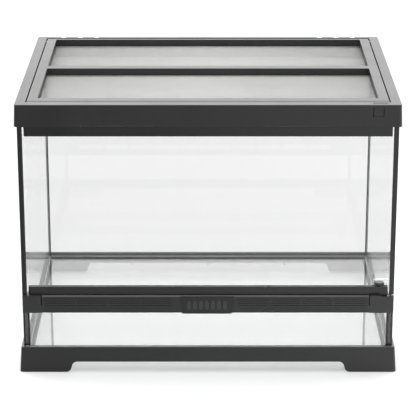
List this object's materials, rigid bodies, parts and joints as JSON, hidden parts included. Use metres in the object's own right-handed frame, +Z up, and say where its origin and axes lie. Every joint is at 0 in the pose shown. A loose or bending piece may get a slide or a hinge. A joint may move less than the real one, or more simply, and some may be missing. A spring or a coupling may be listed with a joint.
{
  "type": "small pet cage",
  "caption": "Low front-opening glass cage for a hamster on a raised black base, with a side-hinged glass door over a vent rail and a hinged mesh lid.",
  "frame": {"origin": "on the floor under the middle of the bounding box", "axes": "+X to the right as seen from the front, +Y to the back, +Z up; the door faces -Y"},
  "size_m": [0.608, 0.458, 0.4463],
  "materials": {
    "black_plastic": "satin moulded, fine grain",
    "glass": "clear polished float glass",
    "silicone": "black silicone, slight gloss",
    "mesh_steel": "fine woven stainless mesh",
    "pin_steel": "bright drawn steel"
  },
  "bodies": {
    "tank": {"base_frame": "black_plastic", "bottom_pane": "glass", "back_pane": "glass", "left_side_pane": "glass", "right_side_pane": "glass", "front_lower_pane": "glass", "rear_corner_seals": "silicone", "floor_seal": "silicone", "front_corner_seals": "silicone", "left_front_edge_trim": "black_plastic", "right_front_edge_trim": "black_plastic", "vent_rail": "black_plastic", "vent_mesh_strip": "mesh_steel", "name_plate": "black_plastic", "left_rail_cap": "black_plastic", "right_rail_cap": "black_plastic", "top_frame": "black_plastic"},
    "door": {"door_pane": "glass", "door_top_channel": "black_plastic", "door_bottom_channel": "black_plastic", "door_top_pin": "pin_steel", "door_bottom_pin": "pin_steel"},
    "latch": {"latch_knob": "black_plastic", "latch_pin": "pin_steel"},
    "lid": {"lid_frame": "black_plastic", "lid_mesh_front": "mesh_steel", "lid_mesh_rear": "mesh_steel", "mesh_retainer_front": "black_plastic", "mesh_retainer_rear": "black_plastic", "retainer_screws": "pin_steel", "lid_hinge_pins": "pin_steel", "lid_catch": "black_plastic"},
    "lid_button": {"lid_release_button": "black_plastic"},
    "left_gate": {"left_inlet_gate": "black_plastic"},
    "right_gate": {"right_inlet_gate": "black_plastic"}
  },
  "joints": [
    {"name": "door_hinge", "type": "hinge", "parent": "tank", "child": "door", "pos_m": [-0.283, -0.2116, 0.25], "axis": [0, 0, -1], "range_deg": [0, 110]},
    {"name": "latch_plunge", "type": "slide", "parent": "door", "child": "latch", "axis": [0, 0, -1], "range_m": [0, 0.003]},
    {"name": "lid_hinge", "type": "hinge", "parent": "tank", "child": "lid", "pos_m": [0, 0.208, 0.4409], "axis": [-1, 0, 0], "range_deg": [0, 90]},
    {"name": "lid_button_press", "type": "slide", "parent": "tank", "child": "lid_button", "axis": [0, 1, 0], "range_m": [0, 0.002], "stiffness_N_per_m": 500, "springref_m": -0.001},
    {"name": "left_gate_slide", "type": "slide", "parent": "tank", "child": "left_gate", "axis": [1, 0, 0], "range_m": [0, 0.0145]},
    {"name": "right_gate_slide", "type": "slide", "parent": "tank", "child": "right_gate", "axis": [-1, 0, 0], "range_m": [0, 0.0145]}
  ]
}
